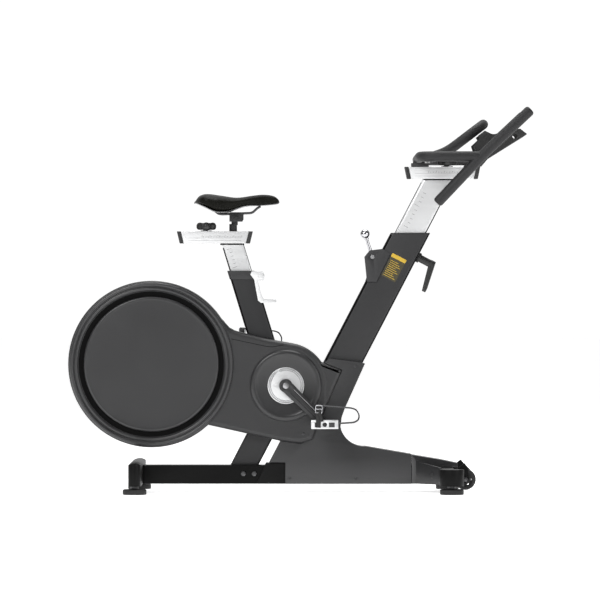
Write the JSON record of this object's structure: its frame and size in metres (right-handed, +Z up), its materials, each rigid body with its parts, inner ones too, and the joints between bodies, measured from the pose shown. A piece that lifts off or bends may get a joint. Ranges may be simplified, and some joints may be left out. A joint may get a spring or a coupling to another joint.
{
  "type": "exercise bike",
  "caption": "Indoor cycling bike with a rear flywheel in a round housing, belt drive, magnetic resistance lever and sliding posts for the saddle and handlebar.",
  "frame": {"origin": "on the floor, at the centre of the bike's length and width", "axes": "+X towards the handlebar, +Y to the rider's left, +Z up"},
  "size_m": [1.4554, 0.53, 1.2065],
  "materials": {
    "frame_paint": "satin black powder coat",
    "cover_plastic": "satin dark grey moulded plastic",
    "black_plastic": "fine-grained black plastic",
    "steel": "zinc plated",
    "crank_metal": "satin black",
    "bright_aluminium": "fine brushed, bright anodised",
    "cast_metal": "machined and coated",
    "chrome": "polished",
    "wire_steel": "dark coated wire",
    "belt_rubber": "matte",
    "saddle_leather": "black synthetic leather with a slight sheen",
    "grip_foam": "soft textured grip"
  },
  "bodies": {
    "frame": {"base_beam": "frame_paint", "rear_stabilizer": "frame_paint", "front_stabilizer": "frame_paint", "front_cover": "cover_plastic", "main_post": "frame_paint", "bar_post_sleeve": "black_plastic", "rear_strut": "frame_paint", "bottom_bracket_shell": "frame_paint", "bearings": "steel", "seat_tube": "frame_paint", "seat_tube_collar": "black_plastic", "flywheel_stays": "frame_paint", "right_housing": "cover_plastic", "left_housing": "cover_plastic", "right_disc_cover": "cover_plastic", "left_disc_cover": "cover_plastic", "right_shroud": "cover_plastic", "left_shroud": "cover_plastic", "drive_belt": "belt_rubber", "lever_bracket": "frame_paint", "brake_cable": "belt_rubber", "fasteners": "steel"},
    "crank": {"crank_spindle": "steel", "crank_pulley": "crank_metal", "right_crank_arm": "crank_metal", "left_crank_arm": "crank_metal", "crank_trim_discs": "bright_aluminium"},
    "pedal_right": {"right_pedal": "bright_aluminium", "right_toe_cage": "wire_steel"},
    "pedal_left": {"left_pedal": "bright_aluminium", "left_toe_cage": "wire_steel"},
    "flywheel_group": {"flywheel": "cast_metal", "flywheel_axle": "steel"},
    "magnets": {"magnet_carrier": "steel"},
    "seat_height": {"seat_post": "bright_aluminium", "seat_rail": "bright_aluminium", "seat_rail_caps": "black_plastic"},
    "seat_slide": {"seat_carriage": "bright_aluminium"},
    "seat_slide_knob": {"seat_knob": "black_plastic"},
    "saddle": {"saddle_clamp": "crank_metal", "saddle_rails": "steel", "saddle_shell": "black_plastic", "saddle_pad": "saddle_leather"},
    "seat_lever": {"seat_clamp_lever": "bright_aluminium"},
    "bar_height": {"bar_post": "bright_aluminium", "bar_rail": "bright_aluminium", "bar_rail_caps": "black_plastic"},
    "bar_slide": {"bar_carriage": "crank_metal", "handlebar": "grip_foam", "grips": "grip_foam", "tablet_bracket": "frame_paint"},
    "bar_slide_knob": {"bar_knob": "black_plastic"},
    "post_lever": {"post_clamp_lever": "black_plastic"},
    "brake_lever": {"resistance_lever": "chrome"},
    "foot_rear_right": {"rear_right_foot": "black_plastic"},
    "foot_rear_left": {"rear_left_foot": "black_plastic"},
    "foot_front_right": {"front_right_foot": "black_plastic"},
    "foot_front_left": {"front_left_foot": "black_plastic"},
    "wheel_right": {"right_wheel": "belt_rubber"},
    "wheel_left": {"left_wheel": "belt_rubber"}
  },
  "joints": [
    {"name": "flywheel_spin", "type": "hinge", "parent": "frame", "child": "flywheel_group", "pos_m": [-0.4665, 0, 0.4029], "axis": [0, 1, 0], "continuous": true},
    {"name": "crank_spin", "type": "hinge", "parent": "frame", "child": "crank", "pos_m": [-0.0444, 0, 0.3355], "axis": [0, 1, 0], "continuous": true},
    {"name": "right_pedal_spin", "type": "hinge", "parent": "crank", "child": "pedal_right", "pos_m": [0.07685, 0, 0.21635], "axis": [0, 1, 0], "continuous": true},
    {"name": "left_pedal_spin", "type": "hinge", "parent": "crank", "child": "pedal_left", "pos_m": [-0.16565, 0, 0.45465], "axis": [0, 1, 0], "continuous": true},
    {"name": "resistance_lever_swing", "type": "hinge", "parent": "frame", "child": "brake_lever", "pos_m": [0.2276, 0, 0.7393], "axis": [0, -1, 0], "range_deg": [-20, 40]},
    {"name": "magnet_swing", "type": "hinge", "parent": "frame", "child": "magnets", "pos_m": [-0.225, 0, 0.44], "axis": [0, -1, 0], "range_deg": [-1, 2]},
    {"name": "seat_height_slide", "type": "slide", "parent": "frame", "child": "seat_height", "axis": [-0.2924, 0, 0.9563], "range_m": [-0.07, 0.12]},
    {"name": "saddle_fore_aft", "type": "slide", "parent": "seat_height", "child": "seat_slide", "axis": [1, 0, 0], "range_m": [-0.04, 0.02]},
    {"name": "seat_knob_turn", "type": "hinge", "parent": "seat_slide", "child": "seat_slide_knob", "pos_m": [-0.295, 0, 0.83], "axis": [0, 0, 1], "range_deg": [0, 270]},
    {"name": "saddle_tilt", "type": "hinge", "parent": "seat_slide", "child": "saddle", "pos_m": [-0.2, 0, 0.863], "axis": [0, 1, 0], "range_deg": [-12, 12]},
    {"name": "seat_lever_swing", "type": "hinge", "parent": "frame", "child": "seat_lever", "pos_m": [-0.122, 0, 0.68], "axis": [0, -1, 0], "range_deg": [0, 75]},
    {"name": "bar_height_slide", "type": "slide", "parent": "frame", "child": "bar_height", "axis": [0.4617, 0, 0.887], "range_m": [-0.15, 0.06]},
    {"name": "bar_fore_aft", "type": "slide", "parent": "bar_height", "child": "bar_slide", "axis": [1, 0, 0], "range_m": [0, 0.058]},
    {"name": "bar_knob_turn", "type": "hinge", "parent": "bar_slide", "child": "bar_slide_knob", "pos_m": [0.4635, 0, 1.03], "axis": [0, 0, 1], "range_deg": [0, 270]},
    {"name": "post_lever_turn", "type": "hinge", "parent": "frame", "child": "post_lever", "pos_m": [0.3703, 0, 0.7389], "axis": [0.887, 0, -0.4617], "range_deg": [-90, 90]},
    {"name": "right_wheel_spin", "type": "hinge", "parent": "frame", "child": "wheel_right", "pos_m": [0.5146, -0.162, 0.0457], "axis": [0, 1, 0], "continuous": true},
    {"name": "left_wheel_spin", "type": "hinge", "parent": "frame", "child": "wheel_left", "pos_m": [0.5146, 0.162, 0.0457], "axis": [0, 1, 0], "continuous": true},
    {"name": "rear_right_foot_screw", "type": "slide", "parent": "frame", "child": "foot_rear_right", "axis": [0, 0, -1], "range_m": [0, 0.012]},
    {"name": "rear_left_foot_screw", "type": "slide", "parent": "frame", "child": "foot_rear_left", "axis": [0, 0, -1], "range_m": [0, 0.012]},
    {"name": "front_right_foot_screw", "type": "slide", "parent": "frame", "child": "foot_front_right", "axis": [0, 0, -1], "range_m": [0, 0.012]},
    {"name": "front_left_foot_screw", "type": "slide", "parent": "frame", "child": "foot_front_left", "axis": [0, 0, -1], "range_m": [0, 0.012]}
  ],
  "couplings": [
    {"joint": "crank_spin", "follows": "flywheel_spin", "ratio": 0.25},
    {"joint": "magnet_swing", "follows": "resistance_lever_swing", "ratio": 0.05}
  ]
}
